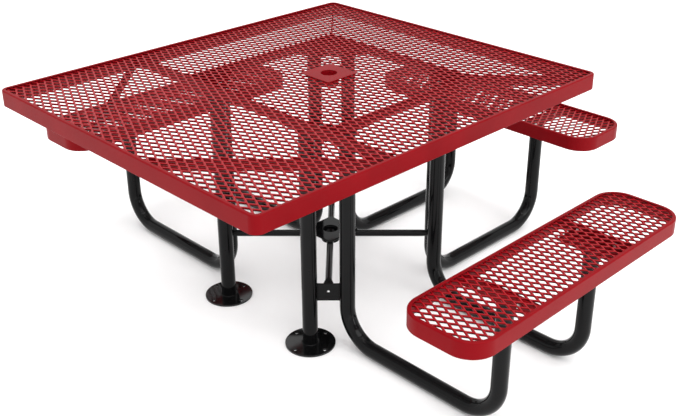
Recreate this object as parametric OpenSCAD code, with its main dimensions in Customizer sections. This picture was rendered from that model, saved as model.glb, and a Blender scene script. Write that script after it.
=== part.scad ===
// Four-sided picnic table with three bench seats and one open side for a wheelchair.
// Millimetres, +Z up, floor at Z = 0. The open side faces -Y.

/* [Table top] */
// Width of the table top along X
top_w = 1168; // [1066:2:1270]
// Length of the table top along Y
top_l = 1372; // [1270:2:1472]
// Height of the table top above the floor
top_h = 762; // [720:1:800]
// Distance from the umbrella axis to the back edge of the top
top_back = 584; // [540:2:620]
// Corner radius of the top rim, seen from above
top_corner = 26; // [12:1:60]
// Depth of the top rim
top_rim_d = 50; // [46:1:60]

/* [Bench seats] */
// Length of one seat
seat_l = 969; // [900:1:1050]
// Width of one seat
seat_w = 254; // [230:1:300]
// Height of the seats above the floor
seat_h = 456; // [430:1:480]
// Distance from the umbrella axis to the inner edge of a seat
seat_in = 728; // [700:1:760]
// Corner radius of the seat rim, seen from above
seat_corner = 76; // [50:1:100]
// Depth of the seat rim
seat_rim_d = 48; // [44:1:56]

/* [Rims and mesh] */
// Sheet thickness of both kinds of rim
rim_t = 3; // [2:0.5:4]
// Width of the flat lip around the mesh
lip_w = 12; // [8:1:30]
// Thickness of the plain sheet that stands for the expanded mesh
mesh_t = 1.2; // [1:0.1:3]
// Thickness of the flat bars that stand on edge under the mesh
bar_t = 5; // [4:0.5:8]

/* [Frame tubes] */
// Outside diameter of the frame tube
tube_d = 47.6; // [42:0.1:51]
// Wall thickness of the frame tube
tube_wall = 3; // [2:0.5:4]
// Centreline radius of both bends
bend_r = 112; // [90:1:140]
// Distance of the outer post of a corner pair from the umbrella axis, along the seat's direction
post_out = 281; // [265:1:281]
// Sideways distance of every post and seat tube from the umbrella axis
post_side = 200; // [190:1:205]
// Distance of a seat tube from the umbrella axis
leg_out = 856; // [840:1:880]

/* [Centre braces] */
// Height of the brace centreline above the floor
brace_z = 203; // [190:1:230]
// Outside diameter of a brace
brace_d = 22; // [19:0.5:26]
// Side of the square umbrella plates
plate_w = 127; // [110:1:150]
// Outside diameter of the umbrella collars
collar_d = 60; // [58:1:66]
// Bore diameter of the upper umbrella collar
hole_d = 51; // [50:0.5:54]
// Bore diameter of the lower umbrella socket
socket_d = 49; // [45:0.5:49.5]

/* [Floor flanges] */
// Diameter of a floor flange
flange_d = 156; // [145:1:170]
// Thickness of a floor flange
flange_t = 6; // [5:0.5:10]
// Bolt circle diameter of a floor flange
flange_pcd = 128; // [110:1:132]
// Bolt hole diameter of a floor flange
flange_hole_d = 11; // [9:0.5:14]

/* [Hidden] */
$fn = 64;

red = [0.62, 0.09, 0.12];
black = [0.06, 0.06, 0.065];
steel = [0.62, 0.63, 0.65];

// The outline is centred on X and Y, so the umbrella axis lies off the origin along Y.
seat_out = seat_in + seat_w;
top_front = top_l - top_back;
axis_y = (top_front - seat_out) / 2;

// Gaps that keep a bore clear of what passes through it, and the reach of a cutter past a face
slip = 0.2;
past = 1;

// The middle of the table top, and the inner face of its side walls
top_y = axis_y + top_back - top_l / 2;
inner_x = top_w / 2 - rim_t;

// Heights in the table top, from the lip down
bar_drop = 43;
top_mesh_top = top_h - rim_t;
top_mesh_z = top_mesh_top - mesh_t;
bar_z = top_h - bar_drop;
bar_h = top_mesh_z - bar_z;
bar_in = post_out + tube_d / 2 + slip;
bar_mid = bar_in + bar_t / 2;
gusset_share = 0.44;
gusset_t = 4;
gusset_z = bar_z - gusset_t;
head_t = 5;
head_z = gusset_z - head_t;

// Heights in a seat
seat_mesh_top = seat_h - rim_t;
seat_mesh_z = seat_mesh_top - mesh_t;
seat_rim_z = seat_h - seat_rim_d;
bracket_t = 5;
bracket_w = 62;
bracket_l = 188;
bracket_h = 40;
bracket_in = 22;
seat_bar_y = post_side + bracket_in;
seat_bar_z = seat_rim_z + bracket_t;

// Centre of the frame: the plate lies on the braces and the collar hangs under it
socket_plate_t = 6;
socket_collar_h = 34;
socket_plate_z = brace_z + brace_d / 2;
socket_collar_z = socket_plate_z - socket_collar_h;
top_collar_h = 35;
mesh_hole_r = collar_d / 2 + 0.5;

// Corner pairs: the midpoint of a pair lies on the diagonal
pair_mid = (post_out + post_side) / 2 * sqrt(2);
pair_half = (post_out - post_side) / sqrt(2);
tie_t = 6;
tie_h = 58;
tie_drop = 48;
tie_z = brace_z - tie_drop;
tie_hole_z = tie_z + 31;
head_w = tube_d + 2;
head_l = 2 * pair_half + tube_d + 8;

// The flat end of a brace, and how deep its tube runs into the collar and into the flat end
spade_l = 34;
spade_w = 34;
spade_t = 7;
brace_root = 4;
spade_root = 6;

// Fasteners
bolt_d = 8;
bolt_hole_d = 9;
hex_d = 15;
head_h = 5.3;
nut_h = 6.8;
bolt_end = 2;
top_bolt_x = 15;
seat_bolt_x = 60;
seat_bolt_rise = 24;
seat_bolt_z = seat_rim_z + seat_bolt_rise;

// Angles of the four corners and of the three seats, about the umbrella axis
CORNERS = [-45, 45, 135, 225];
SEATS = [0, 90, 180];

module about_axis(angle) {
    translate([0, axis_y, 0]) rotate([0, 0, angle]) children();
}

module rounded(w, l, r) {
    x = w / 2 - r;
    y = l / 2 - r;
    union() {
        square([w, l - 2 * r], center = true);
        square([w - 2 * r, l], center = true);
        for (sx = [-1, 1], sy = [-1, 1]) translate([sx * x, sy * y]) circle(r);
    }
}

// A rectangle with round corners and a border of that width
module border(w, l, r, width) {
    difference() {
        rounded(w, l, r);
        rounded(w - 2 * width, l - 2 * width, max(1, r - width));
    }
}

// A folded rim: a vertical wall with a flat lip turned inwards at its top edge
module folded_rim(w, l, r, depth) {
    translate([0, 0, -depth]) linear_extrude(depth - rim_t) border(w, l, r, rim_t);
    translate([0, 0, -rim_t]) linear_extrude(rim_t) border(w, l, r, lip_w);
}

// A hole right through a plate or a collar that stands on Z = 0
module drill(depth, d) {
    translate([0, 0, -past]) cylinder(h = depth + 2 * past, d = d);
}

// Cross-section of the frame tube
module tube_section() {
    difference() {
        circle(d = tube_d);
        circle(d = tube_d - 2 * tube_wall);
    }
}

// ---------- Table top ----------

module top_rim() {
    color(red) translate([0, top_y, top_h]) folded_rim(top_w, top_l, top_corner, top_rim_d);
}

module top_mesh() {
    w = top_w - 2 * rim_t;
    l = top_l - 2 * rim_t;
    color(red) difference() {
        translate([0, top_y, top_mesh_z])
            linear_extrude(mesh_t) rounded(w, l, top_corner - rim_t);
        translate([0, axis_y, 0]) cylinder(h = top_h, r = mesh_hole_r);
    }
}

module umbrella_plate() {
    color(red) translate([0, axis_y, top_mesh_top]) difference() {
        translate([-plate_w / 2, -plate_w / 2, 0]) cube([plate_w, plate_w, rim_t]);
        drill(rim_t, hole_d);
    }
}

module umbrella_collar() {
    color(red) translate([0, axis_y, top_mesh_top - top_collar_h]) difference() {
        cylinder(h = top_collar_h, d = collar_d);
        drill(top_collar_h, hole_d);
    }
}

// A flat bar on edge between two points, drawn about the umbrella axis
module flat_bar(a, b) {
    d = b - a;
    color(red) translate([a[0], axis_y + a[1], bar_z])
        rotate([0, 0, atan2(d[1], d[0])])
        translate([0, -bar_t / 2, 0]) cube([norm(d), bar_t, bar_h]);
}

module front_bar() {
    flat_bar([-inner_x, -bar_mid], [inner_x, -bar_mid]);
}

module back_bar() {
    flat_bar([-bar_in - bar_t, bar_mid], [bar_in + bar_t, bar_mid]);
}

module side_bar(side) {
    flat_bar([side * bar_mid, -bar_in], [side * bar_mid, bar_in]);
}

// From the corner of the square of bars out to the round back corner of the rim
module outrigger(side) {
    from = bar_in + bar_t + bar_t / 2;
    to = top_back - rim_t - (top_corner - rim_t) * (1 - sqrt(0.5)) - slip;
    flat_bar([side * from, from], [side * to, to]);
}

// From the end of the front bar forwards and inwards to the open edge
module overhang_brace(side) {
    from = [inner_x - bar_t, -bar_in - 2 * bar_t];
    run = top_front - rim_t - bar_t + from[1];
    flat_bar([side * from[0], from[1]], [side * (from[0] - run), from[1] - run]);
}

module corner_gussets() {
    edge = bar_in + bar_t;
    short = gusset_share * edge;
    color(red) for (a = [0, 90, 180, 270]) about_axis(a) difference() {
        translate([0, 0, gusset_z])
            linear_extrude(gusset_t) polygon([[edge, edge], [short, edge], [edge, short]]);
        rotate([0, 0, 45]) top_bolt_holes();
    }
}

module top_bolt_holes() {
    for (s = [-1, 1])
        translate([pair_mid, s * top_bolt_x, head_z]) drill(head_t + gusset_t, bolt_hole_d);
}

// ---------- Seats, each drawn along +X of its own side ----------

module seat_rim(angle) {
    color(red) about_axis(angle) translate([seat_in + seat_w / 2, 0, seat_h])
        folded_rim(seat_w, seat_l, seat_corner, seat_rim_d);
}

module seat_mesh(angle) {
    color(red) about_axis(angle) translate([seat_in + seat_w / 2, 0, seat_mesh_z])
        linear_extrude(mesh_t)
        rounded(seat_w - 2 * rim_t, seat_l - 2 * rim_t, seat_corner - rim_t);
}

module seat_bars(angle) {
    h = seat_mesh_z - seat_bar_z;
    color(red) about_axis(angle) for (s = [-1, 1]) difference() {
        translate([seat_in + rim_t, s * (seat_bar_y + bar_t / 2) - bar_t / 2, seat_bar_z])
            cube([seat_w - 2 * rim_t, bar_t, h]);
        seat_bolt_holes(s);
    }
}

module seat_bolt_holes(s) {
    for (x = [-1, 1])
        translate([leg_out + x * seat_bolt_x, s * seat_bar_y, seat_bolt_z])
        rotate([90, 0, 0]) cylinder(h = 4 * (bar_t + bracket_t), d = bolt_hole_d, center = true);
}

// ---------- Frame ----------

// Post, bend, floor run, bend and seat tube, in the plane Y = 0
module bent_tube() {
    r = tube_d / 2;
    bend_z = r + bend_r;
    translate([post_out, 0, bend_z]) linear_extrude(head_z - bend_z) tube_section();
    translate([post_out + bend_r, 0, bend_z]) rotate([90, 0, 0])
        rotate([0, 0, 180]) rotate_extrude(angle = 90) translate([bend_r, 0]) tube_section();
    translate([post_out + bend_r, 0, r]) rotate([90, 0, 90])
        linear_extrude(leg_out - post_out - 2 * bend_r) tube_section();
    translate([leg_out - bend_r, 0, bend_z]) rotate([90, 0, 0])
        rotate([0, 0, 270]) rotate_extrude(angle = 90) translate([bend_r, 0]) tube_section();
    translate([leg_out, 0, bend_z]) linear_extrude(seat_rim_z - bend_z) tube_section();
}

module seat_tube(angle, side) {
    color(black) about_axis(angle) translate([0, side * post_side, 0]) bent_tube();
}

module front_leg(side) {
    color(black) translate([side * post_side, axis_y - post_out, flange_t])
        linear_extrude(head_z - flange_t) tube_section();
}

module floor_flange(side) {
    color(black) translate([side * post_side, axis_y - post_out, 0]) difference() {
        cylinder(h = flange_t, d = flange_d);
        for (a = [0, 90, 180, 270]) rotate([0, 0, a])
            translate([flange_pcd / 2, 0, 0]) drill(flange_t, flange_hole_d);
    }
}

// Plate between the two posts of a corner, with a centre hole
module tie_plate(corner) {
    color(black) about_axis(corner) difference() {
        translate([pair_mid - tie_t / 2, -pair_half, tie_z]) cube([tie_t, 2 * pair_half, tie_h]);
        for (s = [-1, 1])
            translate([pair_mid, s * pair_half, tie_z]) drill(tie_h, tube_d + slip);
        translate([pair_mid - tie_t / 2, 0, tie_hole_z]) rotate([0, 90, 0])
            drill(tie_t, bolt_hole_d);
    }
}

// Outline of a brace's flat end, which widens from inside the tube
module spade() {
    neck = brace_d / 2 - 1;
    end = spade_l + spade_root;
    polygon([
        [0, -neck], [0, neck],
        [spade_l / 2, spade_w / 2], [end, spade_w / 2],
        [end, -spade_w / 2], [spade_l / 2, -spade_w / 2]
    ]);
}

// Round brace from the socket collar out to a tie plate, with its end pressed flat
module brace(corner) {
    tube_end = pair_mid - tie_t / 2 - spade_l;
    color(black) about_axis(corner) difference() {
        union() {
            translate([collar_d / 2 - brace_root, 0, brace_z]) rotate([0, 90, 0])
                cylinder(h = tube_end - collar_d / 2 + brace_root, d = brace_d);
            translate([tube_end - spade_root, 0, brace_z - spade_t / 2])
                linear_extrude(spade_t) spade();
        }
        cylinder(h = 2 * brace_z, d = collar_d + slip);
    }
}

module socket_plate() {
    color(black) translate([0, axis_y, socket_plate_z]) difference() {
        translate([-plate_w / 2, -plate_w / 2, 0]) cube([plate_w, plate_w, socket_plate_t]);
        drill(socket_plate_t, socket_d);
    }
}

module socket_collar() {
    color(black) translate([0, axis_y, socket_collar_z]) difference() {
        cylinder(h = socket_collar_h, d = collar_d);
        drill(socket_collar_h, socket_d);
    }
}

// Plate on top of a pair of posts, bolted up to the corner gusset
module head_plate(corner) {
    color(black) about_axis(corner) difference() {
        translate([pair_mid - head_w / 2, -head_l / 2, head_z]) cube([head_w, head_l, head_t]);
        top_bolt_holes();
    }
}

// Angle on top of a seat tube, bolted to the seat's bar
module seat_bracket(angle, side) {
    y = side > 0 ? seat_bar_y - bracket_w : -seat_bar_y;
    y_wall = side > 0 ? seat_bar_y - bracket_t : -seat_bar_y;
    color(red) about_axis(angle) difference() {
        union() {
            translate([leg_out - bracket_l / 2, y, seat_rim_z])
                cube([bracket_l, bracket_w, bracket_t]);
            translate([leg_out - bracket_l / 2, y_wall, seat_rim_z])
                cube([bracket_l, bracket_t, bracket_h]);
        }
        seat_bolt_holes(side);
    }
}

// ---------- Fasteners ----------

module bolt(grip) {
    translate([0, 0, -head_h]) cylinder(h = head_h, d = hex_d, $fn = 6);
    cylinder(h = grip + nut_h + bolt_end, d = bolt_d);
}

module nut() {
    difference() {
        cylinder(h = nut_h, d = hex_d, $fn = 6);
        drill(nut_h, bolt_d + slip);
    }
}

module top_bolts() {
    color(steel) for (a = CORNERS, s = [-1, 1]) about_axis(a)
        translate([pair_mid, s * top_bolt_x, head_z]) bolt(head_t + gusset_t);
}

module top_nuts() {
    color(steel) for (a = CORNERS, s = [-1, 1]) about_axis(a)
        translate([pair_mid, s * top_bolt_x, bar_z]) nut();
}

// Puts a bolt or a nut on the line of a seat bolt, pointing away from the seat's middle
module at_seat_bolts(offset) {
    for (a = SEATS, s = [-1, 1], x = [-1, 1]) about_axis(a)
        translate([leg_out + x * seat_bolt_x, s * (seat_bar_y + offset), seat_bolt_z])
        rotate([-90 * s, 0, 0]) children();
}

module seat_bolts() {
    color(steel) at_seat_bolts(-bracket_t) bolt(bracket_t + bar_t);
}

module seat_nuts() {
    color(steel) at_seat_bolts(bar_t) nut();
}

top_rim();
top_mesh();
umbrella_plate();
umbrella_collar();
front_bar();
back_bar();
side_bar(-1);  // left_bar
side_bar(1);  // right_bar
outrigger(-1);  // left_outrigger
outrigger(1);  // right_outrigger
overhang_brace(-1);  // left_overhang_brace
overhang_brace(1);  // right_overhang_brace
corner_gussets();
seat_rim(0);  // right_seat_rim
seat_mesh(0);  // right_seat_mesh
seat_bars(0);  // right_seat_bars
seat_rim(90);  // back_seat_rim
seat_mesh(90);  // back_seat_mesh
seat_bars(90);  // back_seat_bars
seat_rim(180);  // left_seat_rim
seat_mesh(180);  // left_seat_mesh
seat_bars(180);  // left_seat_bars
seat_tube(0, -1);  // right_seat_tube_front
seat_tube(0, 1);  // right_seat_tube_back
seat_tube(90, -1);  // back_seat_tube_right
seat_tube(90, 1);  // back_seat_tube_left
seat_tube(180, -1);  // left_seat_tube_back
seat_tube(180, 1);  // left_seat_tube_front
front_leg(-1);  // front_leg_left
front_leg(1);  // front_leg_right
floor_flange(-1);  // floor_flange_left
floor_flange(1);  // floor_flange_right
tie_plate(CORNERS[0]);  // tie_plate_front_right
tie_plate(CORNERS[1]);  // tie_plate_back_right
tie_plate(CORNERS[2]);  // tie_plate_back_left
tie_plate(CORNERS[3]);  // tie_plate_front_left
brace(CORNERS[0]);  // brace_front_right
brace(CORNERS[1]);  // brace_back_right
brace(CORNERS[2]);  // brace_back_left
brace(CORNERS[3]);  // brace_front_left
socket_plate();
socket_collar();
head_plate(CORNERS[0]);  // head_plate_front_right
head_plate(CORNERS[1]);  // head_plate_back_right
head_plate(CORNERS[2]);  // head_plate_back_left
head_plate(CORNERS[3]);  // head_plate_front_left
seat_bracket(0, -1);  // right_seat_bracket_front
seat_bracket(0, 1);  // right_seat_bracket_back
seat_bracket(90, -1);  // back_seat_bracket_right
seat_bracket(90, 1);  // back_seat_bracket_left
seat_bracket(180, -1);  // left_seat_bracket_back
seat_bracket(180, 1);  // left_seat_bracket_front
top_bolts();
top_nuts();
seat_bolts();
seat_nuts();
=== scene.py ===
"""Picnic table with coated expanded-metal top and seats, three benches and one open side."""

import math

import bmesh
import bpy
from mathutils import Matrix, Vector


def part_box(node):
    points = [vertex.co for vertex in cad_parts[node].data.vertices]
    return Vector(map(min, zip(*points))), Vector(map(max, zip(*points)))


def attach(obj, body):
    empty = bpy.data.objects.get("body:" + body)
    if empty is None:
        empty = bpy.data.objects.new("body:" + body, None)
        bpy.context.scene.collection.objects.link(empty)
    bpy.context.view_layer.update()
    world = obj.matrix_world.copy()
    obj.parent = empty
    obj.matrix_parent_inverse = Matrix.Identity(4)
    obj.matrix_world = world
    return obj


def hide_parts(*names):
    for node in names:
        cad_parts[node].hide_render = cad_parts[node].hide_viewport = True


bl_info = {
    "name": "Open-sided Picnic Table",
    "version": (1, 0, 0),
    "blender": (4, 5, 0),
    "location": "View3D > Sidebar > Picnic Table",
    "description": "Finishes a steel picnic table with coated mesh, rims, tubes, plates and welds",
    "category": "Add Mesh",
}

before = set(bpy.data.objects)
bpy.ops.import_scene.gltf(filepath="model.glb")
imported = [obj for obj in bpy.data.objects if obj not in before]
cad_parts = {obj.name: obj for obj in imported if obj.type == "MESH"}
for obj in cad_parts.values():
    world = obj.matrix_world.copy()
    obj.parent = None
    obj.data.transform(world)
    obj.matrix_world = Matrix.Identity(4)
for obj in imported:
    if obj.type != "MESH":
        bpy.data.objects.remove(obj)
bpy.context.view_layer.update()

BODY = "root"


def middle(node):
    """The middle of a node's box."""
    low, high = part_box(node)
    return (low + high) / 2


def extent(node):
    """The size of a node's box."""
    low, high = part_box(node)
    return high - low


# The umbrella's axis is the centre that seats, posts and braces are turned about.
HUB = Vector((middle("umbrella_plate").x, middle("umbrella_plate").y, 0.0))
TOP_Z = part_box("top_rim")[1].z
TOP_MIDDLE = middle("top_rim") - HUB
TOP_SIZE = extent("top_rim")
SEAT_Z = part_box("right_seat_rim")[1].z
SEAT_MIDDLE = middle("right_seat_rim") - HUB
SEAT_SIZE = extent("right_seat_rim")
TUBE_R = extent("front_leg_right").x / 2
POST_SIDE = middle("front_leg_right").x
POST_OUT = HUB.y - middle("front_leg_right").y
POST_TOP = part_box("front_leg_right")[1].z
FLANGE_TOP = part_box("floor_flange_right")[1].z
TUBE_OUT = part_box("right_seat_tube_front")[1].x - TUBE_R
SEAT_TUBE_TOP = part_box("right_seat_bracket_front")[0].z
BRACE_Z = middle("brace_front_right").z
BRACE_R = extent("brace_front_right").z / 2
COLLAR_R = extent("socket_collar").x / 2
BAR_T = extent("front_bar").y
# The two posts of a corner pair: how far out their middle is, and half the distance between them.
PAIR_OUT = (POST_OUT + POST_SIDE) / math.sqrt(2)
PAIR_HALF = (POST_OUT - POST_SIDE) / math.sqrt(2)

# Sizes in metres that the box of a turned node doesn't give. The spade is a brace's pressed end.
TIE_T = 0.006
SPADE_W = 0.034
SPADE_T = 0.007
SPADE_L = 0.034
# How far a brace reaches into the collar, and how far the top's mesh stops short of it.
BRACE_SINK = 0.002
COLLAR_GAP = 0.004
# Rounding of the bolts and nuts.
FASTENER_EDGE = 0.0006

# Points closer than this are one. CAD meshes are rounded more coarsely.
SAME_POINT = 1e-6
SAME_CAD_POINT = 1e-5

# Shares of a strand's half width or thickness, which shape its section.
CROWN_WIDTH = 0.7
CROWN_DROP = 0.06
BAR_OVERLAP = 0.35
# A cell narrower than this many half strands is left solid.
MIN_CELL = 1.7

# How finely curves are drawn.
TUBE_SIDES = 40
BRACE_SIDES = 24
BEAD_SIDES = 8
BEND_STEPS = 14
PRESS_STEPS = 8
CORNER_STEPS = 12
CLIP_STEPS = 6

# The part of a spade in which the tube flattens out.
PRESS_SHARE = 0.75
# Edges of the rim that turn more than this, in radians, are folded ones.
FOLD_TURN = 1.0
# Length of a weld's ripple over the bead's radius, and how its radius goes up and down.
RIPPLE = 1.1
RING_SWELL = 0.1
LINE_DIP = 0.86
LINE_END = 0.55
# Range that most of a noise pattern's values lie in.
NOISE_RANGE = (0.3, 0.7)

# The stage, in metres.
FLOOR_HALF = 30.0
KEY_SIDE = Vector((0.35, -0.15, 1.0))
STRIP_SIZE = (0.35, 2.6)
STRIP_PLACE = Vector((3.6, 0.6, 1.5))
STRIP_DROP = 0.6

SEATS = {"right": 0, "back": 90, "left": 180}
CORNERS = {"front_right": -45, "back_right": 45, "back_left": 135, "front_left": 225}


# ---------- Properties ----------


class GridProperties(bpy.types.PropertyGroup):
    """The expanded metal of the top and the seats."""

    long_pitch: bpy.props.FloatProperty(
        name="Long way", description="Distance between bonds the long way of the mesh",
        default=0.0508, min=0.03, max=0.08, unit="LENGTH")
    short_pitch: bpy.props.FloatProperty(
        name="Short way", description="Distance between bonds the short way of the mesh",
        default=0.0234, min=0.015, max=0.04, unit="LENGTH")
    bond: bpy.props.FloatProperty(
        name="Bond", description="Length of the joint between four strands",
        default=0.004, min=0.002, max=0.015, unit="LENGTH")
    strand: bpy.props.FloatProperty(
        name="Strand width", description="Width of a coated strand",
        default=0.0070, min=0.003, max=0.009, unit="LENGTH")
    thickness: bpy.props.FloatProperty(
        name="Strand thickness", description="Thickness of a coated strand",
        default=0.0058, min=0.002, max=0.008, unit="LENGTH")
    lean: bpy.props.FloatProperty(
        name="Lean", description="How far the strands lean over, as rise over width",
        default=0.35, min=0.0, max=1.5)


class RimProperties(bpy.types.PropertyGroup):
    """The folded rims of the top and the seats."""

    lip: bpy.props.FloatProperty(
        name="Lip", description="Width of the lip around the mesh",
        default=0.0115, min=0.008, max=0.03, unit="LENGTH")
    wall: bpy.props.FloatProperty(
        name="Wall", description="Thickness of the coated rim",
        default=0.003, min=0.002, max=0.006, unit="LENGTH")
    fold: bpy.props.FloatProperty(
        name="Fold", description="Outer radius of the fold between wall and lip",
        default=0.004, min=0.001, max=0.008, unit="LENGTH")
    top_corner: bpy.props.FloatProperty(
        name="Top corner", description="Corner radius of the table top",
        default=0.026, min=0.015, max=0.06, unit="LENGTH")
    seat_corner: bpy.props.FloatProperty(
        name="Seat corner", description="Corner radius of a seat",
        default=0.076, min=0.05, max=0.1, unit="LENGTH")


class FrameProperties(bpy.types.PropertyGroup):
    """The bent tubes, plates and welds."""

    bend: bpy.props.FloatProperty(
        name="Bend radius", description="Centreline radius of the tube bends",
        default=0.112, min=0.09, max=0.14, unit="LENGTH")
    plate_edge: bpy.props.FloatProperty(
        name="Plate edge", description="Rounding that the coating gives to a plate's edges",
        default=0.0012, min=0.0003, max=0.003, unit="LENGTH")
    weld: bpy.props.FloatProperty(
        name="Weld", description="Radius of a weld bead",
        default=0.0032, min=0.001, max=0.006, unit="LENGTH")


class FinishProperties(bpy.types.PropertyGroup):
    """Colours of the finishes."""

    red: bpy.props.FloatVectorProperty(
        name="Red coating", description="Colour of the thermoplastic coating",
        subtype="COLOR", size=3, min=0, max=1, default=(0.188, 0.0012, 0.0040))
    black: bpy.props.FloatVectorProperty(
        name="Black powder coat", description="Colour of the frame",
        subtype="COLOR", size=3, min=0, max=1, default=(0.0032, 0.0032, 0.0034))
    zinc: bpy.props.FloatVectorProperty(
        name="Zinc", description="Colour of the bolts and nuts",
        subtype="COLOR", size=3, min=0, max=1, default=(0.62, 0.63, 0.65))


class StageProperties(bpy.types.PropertyGroup):
    """Camera, floor and lights."""

    azimuth: bpy.props.FloatProperty(
        name="Azimuth", description="Camera direction, turned from the open side towards +X",
        subtype="ANGLE", default=math.radians(45.0))
    elevation: bpy.props.FloatProperty(
        name="Elevation", description="Camera height above the horizon",
        subtype="ANGLE", default=math.radians(25.69))
    distance: bpy.props.FloatProperty(
        name="Distance", description="Camera distance from its target",
        default=3.316, min=1.0, max=20.0, unit="LENGTH")
    target_z: bpy.props.FloatProperty(
        name="Target height", description="Height of the point that the camera looks at",
        default=0.337, min=0.0, max=2.0, unit="LENGTH")
    lens: bpy.props.FloatProperty(
        name="Lens", description="Focal length in millimetres",
        default=52.96, min=20.0, max=200.0)
    shift_x: bpy.props.FloatProperty(
        name="Shift X", description="Sideways shift of the picture", default=-0.0172)
    shift_y: bpy.props.FloatProperty(
        name="Shift Y", description="Vertical shift of the picture", default=-0.0302)
    floor: bpy.props.FloatProperty(
        name="Floor tone", description="Brightness of the floor", default=0.97, min=0.0, max=1.0)
    sky: bpy.props.FloatProperty(
        name="Sky", description="Strength of the soft light all round", default=1.15, min=0.0)
    key_spread: bpy.props.FloatProperty(
        name="Key spread", description="How wide the overhead light looks from the table",
        subtype="ANGLE", default=math.radians(60.0))
    key: bpy.props.FloatProperty(
        name="Key", description="Strength of the broad overhead light", default=2.1, min=0.0)
    strip: bpy.props.FloatProperty(
        name="Strip", description="Power of the tall light that draws lines along the tubes",
        default=25.0, min=0.0)


# ---------- Mesh helpers ----------


def to_piece(name, bm, finish, slot, replaces=(), turn=None, sharp=35.0):
    """Makes a piece of the bmesh. One drawn about the hub gives its turn and is moved there."""
    if turn is not None:
        spin = Matrix.Rotation(math.radians(turn), 3, "Z")
        bmesh.ops.rotate(bm, cent=(0, 0, 0), matrix=spin, verts=bm.verts)
        bmesh.ops.translate(bm, vec=HUB, verts=bm.verts)
    mesh = bpy.data.meshes.new(name)
    bm.to_mesh(mesh)
    bm.free()
    mesh.polygons.foreach_set("use_smooth", [True] * len(mesh.polygons))
    if sharp:
        mesh.set_sharp_from_angle(angle=math.radians(sharp))
    mesh.materials.append(material(finish))
    piece = bpy.data.objects.new(name, mesh)
    bpy.context.scene.collection.objects.link(piece)
    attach(piece, BODY)
    if replaces:
        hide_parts(*replaces)
    return piece


def round_edges(piece, width, segments=2, angle=35.0):
    """Rounds a piece's sharp edges, as its coating does."""
    bevel = piece.modifiers.new("Rounded edges", "BEVEL")
    bevel.limit_method = "ANGLE"
    bevel.angle_limit = math.radians(angle)
    bevel.width = width
    bevel.segments = segments
    bevel.profile = 0.5
    normals = piece.modifiers.new("Even shading", "WEIGHTED_NORMAL")
    normals.keep_sharp = False
    return piece


def cad_copy(node):
    """A clean copy of a node's mesh, with its flat faces whole again."""
    bm = bmesh.new()
    bm.from_mesh(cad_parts[node].data)
    bmesh.ops.remove_doubles(bm, verts=bm.verts, dist=SAME_CAD_POINT)
    bmesh.ops.dissolve_limit(
        bm, angle_limit=math.radians(0.5), verts=bm.verts, edges=bm.edges)
    return bm


def coated_copy(node, finish, slot, top=None):
    """The node with rounded edges. top cuts it down to that height."""
    bm = cad_copy(node)
    if top is not None:
        for vert in bm.verts:
            vert.co.z = min(vert.co.z, top)
    piece = to_piece("coated_" + node, bm, finish, slot, [node], sharp=None)
    return round_edges(piece, bpy.context.scene.table_frame.plate_edge)


def outline_face(bm, width, length, corner, steps):
    """A flat rectangle with round corners, centred on the origin."""
    bmesh.ops.create_grid(bm, x_segments=1, y_segments=1, size=0.5)
    bmesh.ops.scale(bm, vec=(width, length, 1), verts=bm.verts)
    bmesh.ops.bevel(
        bm, geom=bm.verts[:], offset=corner, offset_type="OFFSET", affect="VERTICES",
        segments=steps, profile=0.5, material=-1)
    return bm.faces[:][0]


def unique(elements):
    """The elements once each, in the order in which they come."""
    return list(dict.fromkeys(elements))


def loop_verts(edges):
    """The vertices of a loop of edges."""
    return unique(v for e in edges for v in e.verts)


def extrude_loop(bm, edges, step):
    """Extrudes a loop of edges by one step and returns the new loop."""
    made = bmesh.ops.extrude_edge_only(bm, edges=edges)["geom"]
    verts = [g for g in made if isinstance(g, bmesh.types.BMVert)]
    bmesh.ops.translate(bm, vec=step, verts=verts)
    return [g for g in made if isinstance(g, bmesh.types.BMEdge)
            and all(v in verts for v in g.verts)]


def spin_loop(bm, edges, centre, axis, angle, steps):
    """Turns a loop of edges about an axis and returns the last loop."""
    verts = loop_verts(edges)
    made = bmesh.ops.spin(
        bm, geom=verts + edges, cent=centre, axis=axis, angle=angle, steps=steps,
        use_merge=False, use_duplicate=False)["geom_last"]
    return [g for g in made if isinstance(g, bmesh.types.BMEdge)]


def start_loop(bm, radius, sides, matrix):
    """An open circle in place, to extrude or spin from."""
    verts = bmesh.ops.create_circle(
        bm, cap_ends=False, radius=radius, segments=sides, matrix=matrix)["verts"]
    return unique(e for v in verts for e in v.link_edges)


def close_ends(bm):
    """Fills open ends and points all faces outwards."""
    bmesh.ops.holes_fill(bm, edges=[e for e in bm.edges if e.is_boundary], sides=0)
    bmesh.ops.recalc_face_normals(bm, faces=bm.faces)


def ring_bead(bm, centre, ring_r, bead_r):
    """A rippled weld bead round an upright tube."""
    ripples = max(16, int(ring_r * 2 * math.pi / (bead_r * RIPPLE)))
    part = bmesh.new()
    stand = Matrix.Translation((ring_r, 0, 0)) @ Matrix.Rotation(math.radians(90), 4, "X")
    loop = start_loop(part, bead_r, BEAD_SIDES, stand)
    bmesh.ops.spin(
        part, geom=loop_verts(loop) + loop, cent=(0, 0, 0), axis=(0, 0, 1), angle=2 * math.pi,
        steps=ripples * 2, use_merge=True, use_duplicate=False)
    for vert in part.verts:
        line = Vector((vert.co.x, vert.co.y, 0)).normalized() * ring_r
        turn = math.atan2(vert.co.y, vert.co.x)
        swell = (1 - RING_SWELL) + RING_SWELL * math.cos(turn * ripples)
        vert.co = line + (vert.co - line) * swell
    bmesh.ops.recalc_face_normals(part, faces=part.faces)
    bmesh.ops.translate(part, vec=centre, verts=part.verts)
    add_part(bm, part)


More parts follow.
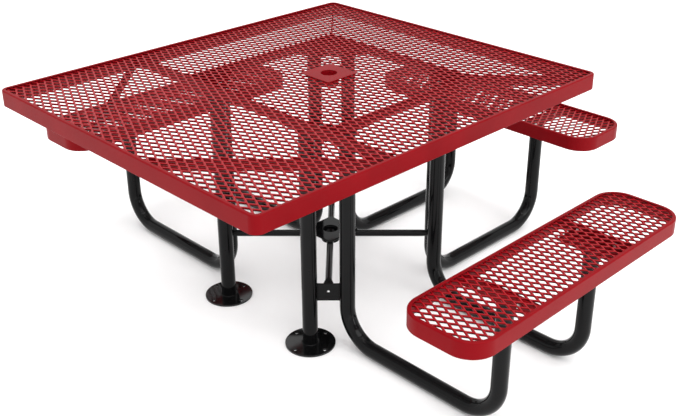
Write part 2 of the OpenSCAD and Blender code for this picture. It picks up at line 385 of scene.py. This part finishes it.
def line_bead(bm, start, end, bead_r):
    """A rippled weld bead along a straight line, with round ends."""
    start, end = Vector(start), Vector(end)
    run = end - start
    steps = 2 * max(3, int(run.length / (bead_r * RIPPLE)))
    part = bmesh.new()
    loop = start_loop(part, bead_r * LINE_END, BEAD_SIDES, Matrix.Identity(4))
    for count in range(steps):
        loop = extrude_loop(part, loop, (0, 0, run.length / steps))
        size = 1.0 if count % 2 else LINE_DIP
        if count == steps - 1:
            size = LINE_END
        verts = loop_verts(loop)
        now = math.hypot(verts[0].co.x, verts[0].co.y)
        scale = bead_r * size / now
        bmesh.ops.scale(part, vec=(scale, scale, 1), verts=verts)
    close_ends(part)
    aim = run.to_track_quat("Z", "Y").to_matrix().to_4x4()
    bmesh.ops.transform(part, matrix=Matrix.Translation(start) @ aim, verts=part.verts)
    add_part(bm, part)


def add_part(bm, part):
    """Copies a part into the bmesh and frees it."""
    mesh = bpy.data.meshes.new("part")
    part.to_mesh(mesh)
    part.free()
    bm.from_mesh(mesh)
    bpy.data.meshes.remove(mesh)


def turned_part(bm, part, angle):
    """Adds a part that was drawn along +X, turned about the hub's axis."""
    turn = Matrix.Rotation(math.radians(angle), 3, "Z")
    bmesh.ops.rotate(part, cent=(0, 0, 0), matrix=turn, verts=part.verts)
    add_part(bm, part)


# ---------- Finishes ----------


def nodes_for(name):
    """A new material with its shader and object coordinates."""
    made = bpy.data.materials.new(name)
    made.use_nodes = True
    tree = made.node_tree
    shader = tree.nodes["Principled BSDF"]
    coords = tree.nodes.new("ShaderNodeTexCoord")
    return made, tree, shader, coords.outputs["Object"]


def noise(tree, coords, scale, detail=2.0):
    """A noise pattern on the object."""
    node = tree.nodes.new("ShaderNodeTexNoise")
    node.inputs["Scale"].default_value = scale
    node.inputs["Detail"].default_value = detail
    tree.links.new(coords, node.inputs["Vector"])
    return node.outputs["Fac"]


def spread(tree, value, low, high):
    """Maps a pattern to a range."""
    node = tree.nodes.new("ShaderNodeMapRange")
    node.inputs["From Min"].default_value = NOISE_RANGE[0]
    node.inputs["From Max"].default_value = NOISE_RANGE[1]
    node.inputs["To Min"].default_value = low
    node.inputs["To Max"].default_value = high
    tree.links.new(value, node.inputs["Value"])
    return node.outputs["Result"]


def two_tone(tree, value, dark, light):
    """A colour between two, by a pattern."""
    node = tree.nodes.new("ShaderNodeMix")
    node.data_type = "RGBA"
    node.inputs["A"].default_value = (*dark, 1)
    node.inputs["B"].default_value = (*light, 1)
    tree.links.new(value, node.inputs["Factor"])
    return node.outputs["Result"]


def bump(tree, shader, height, strength, distance):
    """Gives the shader a bump."""
    node = tree.nodes.new("ShaderNodeBump")
    node.inputs["Strength"].default_value = strength
    node.inputs["Distance"].default_value = distance
    tree.links.new(height, node.inputs["Height"])
    tree.links.new(node.outputs["Normal"], shader.inputs["Normal"])


def paint(tree, shader, value, dark, light):
    """Gives the shader a colour between two, by a pattern spread out to its full range."""
    tone = two_tone(tree, spread(tree, value, 0.0, 1.0), dark, light)
    tree.links.new(tone, shader.inputs["Base Color"])


def roughen(tree, shader, value, low, high):
    """Gives the shader a roughness between two, by a pattern."""
    tree.links.new(spread(tree, value, low, high), shader.inputs["Roughness"])


def shade(colour, factor):
    """A colour made lighter or darker."""
    return tuple(min(1.0, c * factor) for c in colour)


def red_coating(name):
    """Thick thermoplastic coating: dipped, a little uneven, semi-gloss."""
    made, tree, shader, coords = nodes_for(name)
    red = bpy.context.scene.table_finish.red
    paint(tree, shader, noise(tree, coords, scale=9.0), shade(red, 0.92), shade(red, 1.06))
    roughen(tree, shader, noise(tree, coords, scale=220.0), low=0.34, high=0.42)
    bump(tree, shader, noise(tree, coords, scale=130.0), strength=0.12, distance=0.0006)
    shader.inputs["Specular IOR Level"].default_value = 0.06
    return made


def red_grid_with_painted_light(name):
    """The same coating on the strands, with painted light: painted lighter on their upper crowns
    and painted shade on their sheared sides and undersides.
    """
    made, tree, shader, coords = nodes_for(name)
    red = bpy.context.scene.table_finish.red
    painted_light = tree.nodes.new("ShaderNodeAttribute")
    painted_light.attribute_name = "painted_light"
    # Painted light and shade: strand tops painted lighter, sides and undersides painted darker.
    paint(tree, shader, painted_light.outputs["Fac"], shade(red, 0.38), shade(red, 1.45))
    roughen(tree, shader, noise(tree, coords, scale=220.0), low=0.30, high=0.38)
    shader.inputs["Specular IOR Level"].default_value = 0.09
    return made


def black_powder(name):
    """Powder coat: near black, glossy, with a fine orange peel."""
    made, tree, shader, coords = nodes_for(name)
    black = bpy.context.scene.table_finish.black
    broad = noise(tree, coords, scale=14.0, detail=3.0)
    paint(tree, shader, broad, shade(black, 0.8), shade(black, 1.25))
    roughen(tree, shader, noise(tree, coords, scale=300.0), low=0.05, high=0.09)
    bump(tree, shader, noise(tree, coords, scale=420.0), strength=0.04, distance=0.0002)
    shader.inputs["Specular IOR Level"].default_value = 0.135
    return made


def flange_coat(name):
    """The same powder coat, flowed out to a high gloss on the flat flanges."""
    made = black_powder(name)
    made.node_tree.nodes["Principled BSDF"].inputs["Specular IOR Level"].default_value = 0.42
    return made


def zinc_plate(name):
    """Bright zinc with a dull, slightly yellow bloom."""
    made, tree, shader, coords = nodes_for(name)
    zinc = bpy.context.scene.table_finish.zinc
    bloom = noise(tree, coords, scale=180.0, detail=4.0)
    yellowed = (zinc[0], zinc[1] * 0.96, zinc[2] * 0.86)
    paint(tree, shader, bloom, yellowed, zinc)
    roughen(tree, shader, bloom, low=0.28, high=0.46)
    bump(tree, shader, noise(tree, coords, scale=900.0), strength=0.1, distance=0.0002)
    shader.inputs["Metallic"].default_value = 1.0
    return made


def pale_floor(name):
    """A plain, nearly white floor."""
    made, tree, shader, coords = nodes_for(name)
    tone = bpy.context.scene.table_stage.floor
    faint = noise(tree, coords, scale=1.5)
    colour = two_tone(tree, faint, (tone, tone, tone), (tone * 0.99,) * 3)
    tree.links.new(colour, shader.inputs["Base Color"])
    shader.inputs["Roughness"].default_value = 0.9
    shader.inputs["Specular IOR Level"].default_value = 0.1
    return made


FINISHES = {
    "Red coating": red_coating,
    "Red mesh coating with painted light": red_grid_with_painted_light,
    "Black powder coat": black_powder,
    "Flange coat": flange_coat,
    "Zinc plate": zinc_plate,
    "Pale floor": pale_floor,
}
RED = ("Red coating", "red_coating")
RED_GRID = ("Red mesh coating with painted light", "red_mesh_coating")
BLACK = ("Black powder coat", "black_powder_coat")
FLANGE = ("Flange coat", "black_powder_coat")
ZINC = ("Zinc plate", "zinc_plate")


def material(name):
    """The finish of that name, made the first time that it is asked for."""
    return bpy.data.materials.get(name) or FINISHES[name](name)


# ---------- Expanded metal ----------


def honeycomb(bm, width, length, grid):
    """Six-sided cells over the whole area, with their long way along X."""
    turn = Matrix.Rotation(math.radians(90), 3, "Z")
    bmesh.ops.create_circle(bm, cap_ends=True, radius=1, segments=6)
    bmesh.ops.rotate(bm, cent=(0, 0, 0), matrix=turn, verts=bm.verts)
    for vert in bm.verts:
        tip = abs(vert.co.y) < 0.1
        half = (grid.long_pitch - grid.bond) / 2 if tip else grid.bond / 2
        vert.co.x = math.copysign(half, vert.co.x)
        vert.co.y = 0 if tip else math.copysign(grid.short_pitch / 2, vert.co.y)
    columns = math.ceil(width / grid.long_pitch / 2) + 1
    rows = math.ceil(length / grid.short_pitch / 2) + 1
    along = [(i * grid.long_pitch, 0, 0) for i in range(-columns, columns + 1) if i]
    repeat(bm, bm.faces[:], along)
    # Every other line is shifted by half a cell.
    offset = grid.long_pitch / 2
    beside = [(offset * (j % 2), j * grid.short_pitch / 2, 0)
              for j in range(-2 * rows, 2 * rows + 1) if j]
    repeat(bm, bm.faces[:], beside)
    bmesh.ops.remove_doubles(bm, verts=bm.verts, dist=grid.bond / 50)


def repeat(bm, faces, steps):
    """Copies the faces to each step from where they are."""
    geom = unique(g for f in faces for g in (*f.verts, *f.edges, f))
    for step in steps:
        made = bmesh.ops.duplicate(bm, geom=geom)["geom"]
        verts = [g for g in made if isinstance(g, bmesh.types.BMVert)]
        bmesh.ops.translate(bm, vec=step, verts=verts)


def clip_to_outline(bm, width, length, corner):
    """Cuts the flat cells off along a rectangle with round corners."""
    for count in range(4 * CLIP_STEPS):
        angle = count * math.pi / 2 / CLIP_STEPS
        out = Vector((math.cos(angle), math.sin(angle), 0))
        centre = Vector((math.copysign(width / 2 - corner, out.x),
                         math.copysign(length / 2 - corner, out.y), 0))
        bmesh.ops.bisect_plane(
            bm, geom=bm.verts[:] + bm.edges[:] + bm.faces[:], dist=SAME_POINT,
            plane_co=centre + out * corner, plane_no=out, clear_outer=True)


def inset_cells(bm, cells, width, drop, lean, reach):
    """Insets the cells, lowers their new edge and notes its distance from the strand's middle."""
    bmesh.ops.inset_individual(bm, faces=cells, thickness=width, use_even_offset=True)
    for cell in cells:
        centre = cell.calc_center_bounds()
        for vert in cell.verts:
            vert.co.z = -drop
            away = (vert.co - centre).y
            if abs(away) > width:
                vert[lean] = math.copysign(reach, away)


def expanded_metal(width, length, corner, grid, hole=None):
    """Strands that lean over, meet at bonds, and are closed all round.

    Mask of painted light: 1 on the strands' crowns, painted lighter; 0 on sides and below, painted
    as shade.
    """
    bm = bmesh.new()
    honeycomb(bm, width, length, grid)
    if hole:
        centre, radius = hole
        inside = [f for f in bm.faces if (f.calc_center_median() - centre).length < radius]
        bmesh.ops.delete(bm, geom=inside, context="FACES")
    clip_to_outline(bm, width, length, corner)
    bmesh.ops.recalc_face_normals(bm, faces=bm.faces)
    if bm.faces[:][0].normal.z < 0:
        bmesh.ops.reverse_faces(bm, faces=bm.faces)
    half = grid.strand / 2
    flat = half * CROWN_WIDTH
    cells = [f for f in bm.faces
             if 2 * f.calc_area() > MIN_CELL * half * f.calc_perimeter()]
    lean = bm.verts.layers.float.new("lean")
    # Mask of painted light and shade for the strands' colour.
    painted_light = bm.verts.layers.float.new("painted_light")
    inset_cells(bm, cells, flat, grid.thickness * CROWN_DROP, lean, flat)
    for vert in bm.verts:
        vert[painted_light] = 1.0
    inset_cells(bm, cells, half - flat, grid.thickness / 2, lean, half)
    for vert in unique(v for f in cells for v in f.verts):
        vert[painted_light] = 0.0
    bmesh.ops.delete(bm, geom=cells, context="FACES_ONLY")
    for edge in bm.edges:
        if edge.is_boundary:
            for vert in edge.verts:
                vert.co.z = -grid.thickness / 2
    bmesh.ops.translate(bm, vec=(0, 0, grid.thickness / 2), verts=bm.verts)
    below = bmesh.ops.duplicate(bm, geom=bm.verts[:] + bm.edges[:] + bm.faces[:])["geom"]
    low = [g for g in below if isinstance(g, bmesh.types.BMVert)]
    bmesh.ops.scale(bm, vec=(1, 1, -1), verts=low)
    # The undersides are painted as shade.
    for vert in low:
        vert[painted_light] = 0.0
    bmesh.ops.reverse_faces(bm, faces=[g for g in below if isinstance(g, bmesh.types.BMFace)])
    bmesh.ops.remove_doubles(bm, verts=bm.verts, dist=SAME_POINT)
    for vert in bm.verts:
        vert.co.z += grid.lean * vert[lean]
    bmesh.ops.recalc_face_normals(bm, faces=bm.faces)
    return bm


def grid_depth():
    """How far the middle of the expanded metal lies under the rim's upper face."""
    scene = bpy.context.scene
    grid = scene.table_grid
    return scene.table_rim.wall + grid.thickness / 2 + grid.lean * grid.strand / 2


def under_grid():
    """How far the bars that carry the expanded metal start under the rim's upper face."""
    grid = bpy.context.scene.table_grid
    return grid_depth() + grid.thickness * BAR_OVERLAP


# ---------- Rims ----------


def folded_rim(width, length, depth, corner, rim):
    """A wall with a rounded fold and an inward lip, as one skin with its upper face at Z = 0."""
    bm = bmesh.new()
    top = outline_face(bm, width, length, corner, CORNER_STEPS)
    extrude_loop(bm, list(top.edges), (0, 0, -depth))
    bmesh.ops.inset_region(bm, faces=[top], thickness=rim.lip, use_even_offset=True)
    bmesh.ops.delete(bm, geom=[top], context="FACES_ONLY")
    fold = [e for e in bm.edges if not e.is_boundary and e.calc_face_angle(0) > FOLD_TURN]
    bmesh.ops.bevel(
        bm, geom=fold, offset=rim.fold, offset_type="OFFSET", affect="EDGES",
        segments=4, profile=0.5, material=-1)
    bmesh.ops.recalc_face_normals(bm, faces=bm.faces)
    lip = max(bm.faces, key=lambda f: abs(f.normal.z) * f.calc_area())
    if lip.normal.z < 0:
        bmesh.ops.reverse_faces(bm, faces=bm.faces)
    return bm


def thicken(piece, wall):
    """Gives a skin its thickness on the inside, then rounds the free edges."""
    solid = piece.modifiers.new("Wall", "SOLIDIFY")
    solid.thickness = wall
    solid.offset = -1.0
    solid.use_even_offset = True
    return round_edges(piece, wall * 0.42, angle=50.0)


# ---------- Operators ----------


class TableOperator:
    """What the operators share."""

    bl_options = {"REGISTER", "UNDO"}


class TABLE_OT_top_rim(TableOperator, bpy.types.Operator):
    """Fold the rim of the table top."""

    bl_idname = "table.top_rim"
    bl_label = "Top Rim"

    def execute(self, context):
        scene = context.scene
        rim = scene.table_rim
        bm = folded_rim(TOP_SIZE.x, TOP_SIZE.y, TOP_SIZE.z, rim.top_corner, rim)
        bmesh.ops.translate(bm, vec=(TOP_MIDDLE.x, TOP_MIDDLE.y, TOP_Z), verts=bm.verts)
        piece = to_piece("folded_top_rim", bm, *RED, ["top_rim"], turn=0, sharp=None)
        thicken(piece, rim.wall)
        return {"FINISHED"}


class TABLE_OT_top_grid(TableOperator, bpy.types.Operator):
    """Stretch the expanded metal of the table top."""

    bl_idname = "table.top_grid"
    bl_label = "Top Mesh"

    def execute(self, context):
        scene = context.scene
        rim = scene.table_rim
        edge = rim.wall * 2
        hole = (Vector((-TOP_MIDDLE.x, -TOP_MIDDLE.y, 0)), COLLAR_R + COLLAR_GAP)
        bm = expanded_metal(
            TOP_SIZE.x - edge, TOP_SIZE.y - edge, rim.top_corner, scene.table_grid, hole=hole)
        place = (TOP_MIDDLE.x, TOP_MIDDLE.y, TOP_Z - grid_depth())
        bmesh.ops.translate(bm, vec=place, verts=bm.verts)
        to_piece("expanded_top_mesh", bm, *RED_GRID, ["top_mesh"], turn=0, sharp=70.0)
        return {"FINISHED"}


class TABLE_OT_seat_rims(TableOperator, bpy.types.Operator):
    """Fold the rims of the three seats."""

    bl_idname = "table.seat_rims"
    bl_label = "Seat Rims"

    def execute(self, context):
        scene = context.scene
        rim = scene.table_rim
        for side, turn in SEATS.items():
            bm = folded_rim(SEAT_SIZE.x, SEAT_SIZE.y, SEAT_SIZE.z, rim.seat_corner, rim)
            bmesh.ops.translate(bm, vec=(SEAT_MIDDLE.x, 0, SEAT_Z), verts=bm.verts)
            node = side + "_seat_rim"
            piece = to_piece("folded_" + node, bm, *RED, [node], turn=turn, sharp=None)
            thicken(piece, rim.wall)
        return {"FINISHED"}


class TABLE_OT_seat_grids(TableOperator, bpy.types.Operator):
    """Stretch the expanded metal of the three seats."""

    bl_idname = "table.seat_grids"
    bl_label = "Seat Meshes"

    def execute(self, context):
        scene = context.scene
        rim = scene.table_rim
        edge = rim.wall * 2
        for side, turn in SEATS.items():
            bm = expanded_metal(
                SEAT_SIZE.x - edge, SEAT_SIZE.y - edge, rim.seat_corner - rim.wall,
                scene.table_grid)
            place = (SEAT_MIDDLE.x, 0, SEAT_Z - grid_depth())
            bmesh.ops.translate(bm, vec=place, verts=bm.verts)
            node = side + "_seat_mesh"
            to_piece("expanded_" + node, bm, *RED_GRID, [node], turn=turn, sharp=70.0)
        return {"FINISHED"}


class TABLE_OT_bars(TableOperator, bpy.types.Operator):
    """Coat the flat bars and gussets under the top and the seats."""

    bl_idname = "table.bars"
    bl_label = "Bars"

    def execute(self, context):
        for node in ("front_bar", "back_bar", "left_bar", "right_bar", "left_outrigger",
                     "right_outrigger", "left_overhang_brace", "right_overhang_brace"):
            coated_copy(node, *RED, top=TOP_Z - under_grid())
        for side in SEATS:
            coated_copy(side + "_seat_bars", *RED, top=SEAT_Z - under_grid())
        coated_copy("corner_gussets", *RED)
        return {"FINISHED"}


class TABLE_OT_umbrella_plate(TableOperator, bpy.types.Operator):
    """Coat the square plate and the collar that take the umbrella."""

    bl_idname = "table.umbrella_plate"
    bl_label = "Umbrella Plate"

    def execute(self, context):
        for node in ("umbrella_plate", "umbrella_collar"):
            coated_copy(node, *RED)
        return {"FINISHED"}


def bent_tube(bend):
    """Post, bend, floor run, bend and seat tube, drawn along +X with the post near the hub."""
    bm = bmesh.new()
    low = TUBE_R + bend
    loop = start_loop(bm, TUBE_R, TUBE_SIDES, Matrix.Translation((POST_OUT, 0, POST_TOP)))
    loop = extrude_loop(bm, loop, (0, 0, low - POST_TOP))
    loop = spin_loop(bm, loop, (POST_OUT + bend, 0, low), (0, 1, 0), -math.pi / 2, BEND_STEPS)
    loop = extrude_loop(bm, loop, (TUBE_OUT - POST_OUT - 2 * bend, 0, 0))
    loop = spin_loop(bm, loop, (TUBE_OUT - bend, 0, low), (0, 1, 0), -math.pi / 2, BEND_STEPS)
    extrude_loop(bm, loop, (0, 0, SEAT_TUBE_TOP - low))
    close_ends(bm)
    return bm


class TABLE_OT_bent_tubes(TableOperator, bpy.types.Operator):
    """Bend the six tubes that carry the seats."""

    bl_idname = "table.bent_tubes"
    bl_label = "Bent Tubes"

    def execute(self, context):
        scene = context.scene
        places = {"right": ("front", "back"), "back": ("right", "left"), "left": ("back", "front")}
        for side, turn in SEATS.items():
            for end, across in zip(places[side], (-POST_SIDE, POST_SIDE)):
                bm = bent_tube(scene.table_frame.bend)
                bmesh.ops.translate(bm, vec=(0, across, 0), verts=bm.verts)
                node = f"{side}_seat_tube_{end}"
                to_piece("bent_" + node, bm, *BLACK, [node], turn=turn)
        return {"FINISHED"}


class TABLE_OT_front_legs(TableOperator, bpy.types.Operator):
    """Cut the two straight legs of the open side."""

    bl_idname = "table.front_legs"
    bl_label = "Front Legs"

    def execute(self, context):
        for side, across in (("left", -POST_SIDE), ("right", POST_SIDE)):
            bm = bmesh.new()
            foot = Matrix.Translation((across, -POST_OUT, FLANGE_TOP))
            loop = start_loop(bm, TUBE_R, TUBE_SIDES, foot)
            extrude_loop(bm, loop, (0, 0, POST_TOP - FLANGE_TOP))
            close_ends(bm)
            node = "front_leg_" + side
            to_piece("straight_" + node, bm, *BLACK, [node], turn=0)
        return {"FINISHED"}


class TABLE_OT_plates(TableOperator, bpy.types.Operator):
    """Coat the flanges, tie plates, head plates, brackets and the umbrella socket."""

    bl_idname = "table.plates"
    bl_label = "Plates"

    def execute(self, context):
        for side in ("left", "right"):
            coated_copy("floor_flange_" + side, *FLANGE)
        for corner in CORNERS:
            coated_copy("tie_plate_" + corner, *BLACK)
            coated_copy("head_plate_" + corner, *BLACK)
        for node in ("socket_plate", "socket_collar"):
            coated_copy(node, *BLACK)
        for node in ("right_seat_bracket_front", "right_seat_bracket_back",
                     "back_seat_bracket_left", "back_seat_bracket_right",
                     "left_seat_bracket_front", "left_seat_bracket_back"):
            coated_copy(node, *RED)
        return {"FINISHED"}


def brace_tube():
    """A round brace whose outer end is pressed to an upright blade, drawn along +X."""
    bm = bmesh.new()
    tube_end = PAIR_OUT - TIE_T / 2 - SPADE_L
    side = Matrix.Rotation(math.radians(90), 4, "Y")
    start = Matrix.Translation((COLLAR_R - BRACE_SINK, 0, BRACE_Z))
    loop = start_loop(bm, BRACE_R, BRACE_SIDES, start @ side)
    loop = extrude_loop(bm, loop, (tube_end - COLLAR_R + BRACE_SINK, 0, 0))
    for count in range(1, PRESS_STEPS + 1):
        loop = extrude_loop(bm, loop, (SPADE_L * PRESS_SHARE / PRESS_STEPS, 0, 0))
        part = count / PRESS_STEPS
        ease = part * part * (3 - 2 * part)
        wide = BRACE_R + (SPADE_W / 2 - BRACE_R) * ease
        thin = BRACE_R + (SPADE_T / 2 - BRACE_R) * ease
        verts = loop_verts(loop)
        centre = sum((v.co for v in verts), Vector()) / len(verts)
        now_y = max(abs(v.co.y - centre.y) for v in verts)
        now_z = max(abs(v.co.z - centre.z) for v in verts)
        bmesh.ops.scale(
            bm, vec=(1, wide / now_y, thin / now_z), verts=verts,
            space=Matrix.Translation(-centre))
    extrude_loop(bm, loop, (SPADE_L * (1 - PRESS_SHARE), 0, 0))
    close_ends(bm)
    return bm


class TABLE_OT_braces(TableOperator, bpy.types.Operator):
    """Press the ends of the four centre braces."""

    bl_idname = "table.braces"
    bl_label = "Braces"

    def execute(self, context):
        for corner, turn in CORNERS.items():
            node = "brace_" + corner
            to_piece("pressed_" + node, brace_tube(), *BLACK, [node], turn=turn, sharp=50.0)
        return {"FINISHED"}


class TABLE_OT_fasteners(TableOperator, bpy.types.Operator):
    """Chamfer the bolts and nuts."""

    bl_idname = "table.fasteners"
    bl_label = "Fasteners"

    def execute(self, context):
        for node in ("top_bolts", "top_nuts", "seat_bolts", "seat_nuts"):
            piece = to_piece("plated_" + node, cad_copy(node), *ZINC, [node], sharp=None)
            round_edges(piece, FASTENER_EDGE, segments=1)
        return {"FINISHED"}


class TABLE_OT_welds(TableOperator, bpy.types.Operator):
    """Lay the weld beads of the frame."""

    bl_idname = "table.welds"
    bl_label = "Welds"

    def execute(self, context):
        scene = context.scene
        bead = scene.table_frame.weld
        small = bead * 0.8
        ring = TUBE_R + bead * 0.2
        bm = bmesh.new()
        for across in (-POST_SIDE, POST_SIDE):
            ring_bead(bm, (across, -POST_OUT, FLANGE_TOP), TUBE_R + bead * 0.3, bead)
            ring_bead(bm, (across, -POST_OUT, POST_TOP), ring, small)
        for turn in SEATS.values():
            for across in (-POST_SIDE, POST_SIDE):
                part = bmesh.new()
                ring_bead(part, (POST_OUT, across, POST_TOP), ring, small)
                ring_bead(part, (TUBE_OUT, across, SEAT_TUBE_TOP), ring, small)
                turned_part(bm, part, turn)
        low, high = (z.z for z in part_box("tie_plate_front_right"))
        for turn in CORNERS.values():
            part = bmesh.new()
            for x in (PAIR_OUT - TIE_T / 2, PAIR_OUT + TIE_T / 2):
                for y in (TUBE_R - PAIR_HALF, PAIR_HALF - TUBE_R):
                    line_bead(part, (x, y, low), (x, y, high), small)
            inner = PAIR_OUT - TIE_T / 2
            for rise in (-SPADE_T / 2, SPADE_T / 2):
                line_bead(part, (inner, -SPADE_W / 2, BRACE_Z + rise),
                          (inner, SPADE_W / 2, BRACE_Z + rise), bead * 0.7)
            turned_part(bm, part, turn)
        ring_bead(bm, (0, 0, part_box("socket_plate")[0].z), COLLAR_R, small)
        to_piece("frame_welds", bm, *BLACK, turn=0, sharp=None)
        self.bar_welds(small)
        return {"FINISHED"}

    def bar_welds(self, bead):
        """Upright beads where the bars meet the rims and one another."""
        bm = bmesh.new()
        low, high = (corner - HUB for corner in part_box("right_seat_bars"))
        end = SEAT_Z - under_grid() - bead
        for turn in SEATS.values():
            part = bmesh.new()
            for x in (low.x, high.x):
                for y in (low.y, low.y + BAR_T, high.y - BAR_T, high.y):
                    line_bead(part, (x, y, low.z + bead), (x, y, end), bead)
            turned_part(bm, part, turn)
        end = TOP_Z - under_grid() - bead
        for node in ("front_bar", "left_bar", "right_bar"):
            low, high = (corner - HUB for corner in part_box(node))
            for x in (low.x, high.x):
                for y in (low.y, high.y):
                    line_bead(bm, (x, y, low.z + bead), (x, y, end), bead)
        ring_bead(bm, (0, 0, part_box("umbrella_plate")[0].z), COLLAR_R, bead)
        to_piece("bar_welds", bm, *RED, turn=0, sharp=None)


class TABLE_OT_stage(TableOperator, bpy.types.Operator):
    """Set the floor, the soft lights and the camera."""

    bl_idname = "table.stage"
    bl_label = "Stage"

    def execute(self, context):
        scene = context.scene
        stage = scene.table_stage
        self.floor(scene)
        self.camera(scene, stage)
        self.lights(scene, stage)
        return {"FINISHED"}

    def floor(self, scene):
        """A wide plain floor at the table's feet."""
        bm = bmesh.new()
        bmesh.ops.create_grid(bm, x_segments=4, y_segments=4, size=FLOOR_HALF)
        mesh = bpy.data.meshes.new("floor")
        bm.to_mesh(mesh)
        bm.free()
        mesh.materials.append(material("Pale floor"))
        floor = bpy.data.objects.new("floor", mesh)
        scene.collection.objects.link(floor)

    def camera(self, scene, stage):
        """A camera that looks at the table over its open corner."""
        data = bpy.data.cameras.new("camera")
        data.sensor_width = 36.0
        data.lens = stage.lens
        data.shift_x = stage.shift_x
        data.shift_y = stage.shift_y
        data.clip_end = 100.0
        camera = bpy.data.objects.new("camera", data)
        scene.collection.objects.link(camera)
        back = Vector((
            math.cos(stage.elevation) * math.sin(stage.azimuth),
            -math.cos(stage.elevation) * math.cos(stage.azimuth),
            math.sin(stage.elevation)))
        camera.location = Vector((0, 0, stage.target_z)) + back * stage.distance
        camera.rotation_euler = back.to_track_quat("Z", "Y").to_euler()
        scene.camera = camera

    def lights(self, scene, stage):
        """Even light from all round, a broad light from above and a tall strip at the side."""
        world = bpy.data.worlds.new("studio")
        world.use_nodes = True
        background = world.node_tree.nodes["Background"]
        background.inputs["Color"].default_value = (1, 1, 1, 1)
        background.inputs["Strength"].default_value = stage.sky
        scene.world = world
        data = bpy.data.lights.new("key", "SUN")
        data.energy = stage.key
        data.angle = stage.key_spread
        light = bpy.data.objects.new("key", data)
        scene.collection.objects.link(light)
        light.rotation_euler = KEY_SIDE.to_track_quat("Z", "Y").to_euler()
        data = bpy.data.lights.new("strip", "AREA")
        data.shape = "RECTANGLE"
        data.size, data.size_y = STRIP_SIZE
        data.energy = stage.strip
        strip = bpy.data.objects.new("strip", data)
        scene.collection.objects.link(strip)
        strip.location = STRIP_PLACE
        away = STRIP_PLACE - Vector((0, 0, STRIP_DROP))
        strip.rotation_euler = away.to_track_quat("Z", "Y").to_euler()
        scene.view_settings.view_transform = "Standard"


class TABLE_PT_panel(bpy.types.Panel):
    """The picnic table's sizes and steps."""

    bl_idname = "TABLE_PT_panel"
    bl_label = "Picnic Table"
    bl_space_type = "VIEW_3D"
    bl_region_type = "UI"
    bl_category = "Picnic Table"

    def draw(self, context):
        """Lists the settings, then the operators."""
        for group in ("table_grid", "table_rim", "table_frame", "table_finish", "table_stage"):
            settings = getattr(context.scene, group)
            box = self.layout.box()
            for name in settings.__annotations__:
                box.prop(settings, name)
        for operator in OPERATORS:
            self.layout.operator(operator.bl_idname)


GROUPS = {
    "table_grid": GridProperties,
    "table_rim": RimProperties,
    "table_frame": FrameProperties,
    "table_finish": FinishProperties,
    "table_stage": StageProperties,
}
OPERATORS = (
    TABLE_OT_stage,
    TABLE_OT_top_rim,
    TABLE_OT_top_grid,
    TABLE_OT_seat_rims,
    TABLE_OT_seat_grids,
    TABLE_OT_bars,
    TABLE_OT_umbrella_plate,
    TABLE_OT_bent_tubes,
    TABLE_OT_front_legs,
    TABLE_OT_plates,
    TABLE_OT_braces,
    TABLE_OT_fasteners,
    TABLE_OT_welds,
)


def register():
    """Registers the settings, the operators and the panel."""
    for name, group in GROUPS.items():
        bpy.utils.register_class(group)
        setattr(bpy.types.Scene, name, bpy.props.PointerProperty(type=group))
    for operator in OPERATORS:
        bpy.utils.register_class(operator)
    bpy.utils.register_class(TABLE_PT_panel)


def unregister():
    """Takes the settings, the operators and the panel away again."""
    bpy.utils.unregister_class(TABLE_PT_panel)
    for operator in reversed(OPERATORS):
        bpy.utils.unregister_class(operator)
    for name, group in GROUPS.items():
        delattr(bpy.types.Scene, name)
        bpy.utils.unregister_class(group)


def main():
    """Builds the table step by step."""
    register()
    for operator in OPERATORS:
        group, step = operator.bl_idname.split(".")
        getattr(getattr(bpy.ops, group), step)()
    bpy.context.view_layer.update()


if __name__ == "__main__":
    main()
